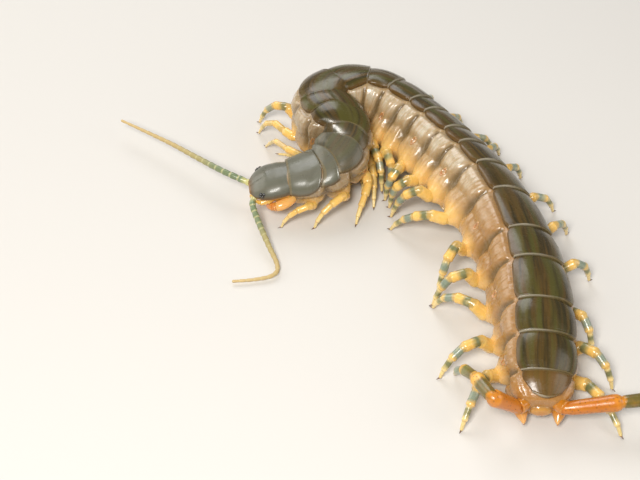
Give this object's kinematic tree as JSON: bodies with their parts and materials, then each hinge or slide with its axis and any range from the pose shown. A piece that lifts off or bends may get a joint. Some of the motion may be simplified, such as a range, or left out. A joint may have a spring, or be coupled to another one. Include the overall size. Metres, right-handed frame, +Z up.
{
  "type": "centipede model",
  "caption": "Still, life-size model of a giant centipede resting in an S: a domed head with feelers and curved fangs, a plated trunk, legs down both sides and a stout rear pair.",
  "frame": {"origin": "on the floor, under the middle of the whole", "axes": "+Z up; +X to the right in the picture, along which the head looks back to -X; +Y away from the viewer"},
  "size_m": [0.1034, 0.103, 0.0168],
  "materials": {
    "olive_armour": "glossy dark olive back plates, tan flanks",
    "yellow_leg": "glossy yellow with blue-green rings",
    "green_feeler": "satin, grey-green to tan-yellow",
    "orange_fang": "glossy orange"
  },
  "bodies": {
    "root": {"fang_left": "orange_fang", "fang_right": "orange_fang", "feeler_left": "green_feeler", "feeler_right": "green_feeler", "head": "olive_armour", "leg_left_01": "yellow_leg", "leg_left_02": "yellow_leg", "leg_left_03": "yellow_leg", "leg_left_04": "yellow_leg", "leg_left_05": "yellow_leg", "leg_left_06": "yellow_leg", "leg_left_07": "yellow_leg", "leg_left_08": "yellow_leg", "leg_left_09": "yellow_leg", "leg_left_10": "yellow_leg", "leg_left_11": "yellow_leg", "leg_left_12": "yellow_leg", "leg_left_13": "yellow_leg", "leg_left_14": "yellow_leg", "leg_left_15": "yellow_leg", "leg_left_16": "yellow_leg", "leg_left_17": "yellow_leg", "leg_left_18": "yellow_leg", "leg_left_19": "yellow_leg", "leg_left_20": "yellow_leg", "leg_left_21": "orange_fang", "leg_right_01": "yellow_leg", "leg_right_02": "yellow_leg", "leg_right_03": "yellow_leg", "leg_right_04": "yellow_leg", "leg_right_05": "yellow_leg", "leg_right_06": "yellow_leg", "leg_right_07": "yellow_leg", "leg_right_08": "yellow_leg", "leg_right_09": "yellow_leg", "leg_right_10": "yellow_leg", "leg_right_11": "yellow_leg", "leg_right_12": "yellow_leg", "leg_right_13": "yellow_leg", "leg_right_14": "yellow_leg", "leg_right_15": "yellow_leg", "leg_right_16": "yellow_leg", "leg_right_17": "yellow_leg", "leg_right_18": "yellow_leg", "leg_right_19": "yellow_leg", "leg_right_20": "yellow_leg", "leg_right_21": "orange_fang", "trunk_10_to_12": "olive_armour", "trunk_13_to_14": "olive_armour", "trunk_15_to_16": "olive_armour", "trunk_17_to_18": "olive_armour", "trunk_19_to_20": "olive_armour", "trunk_1_to_5": "olive_armour", "trunk_21": "olive_armour", "trunk_6_to_9": "olive_armour"}
  },
  "joints": []
}
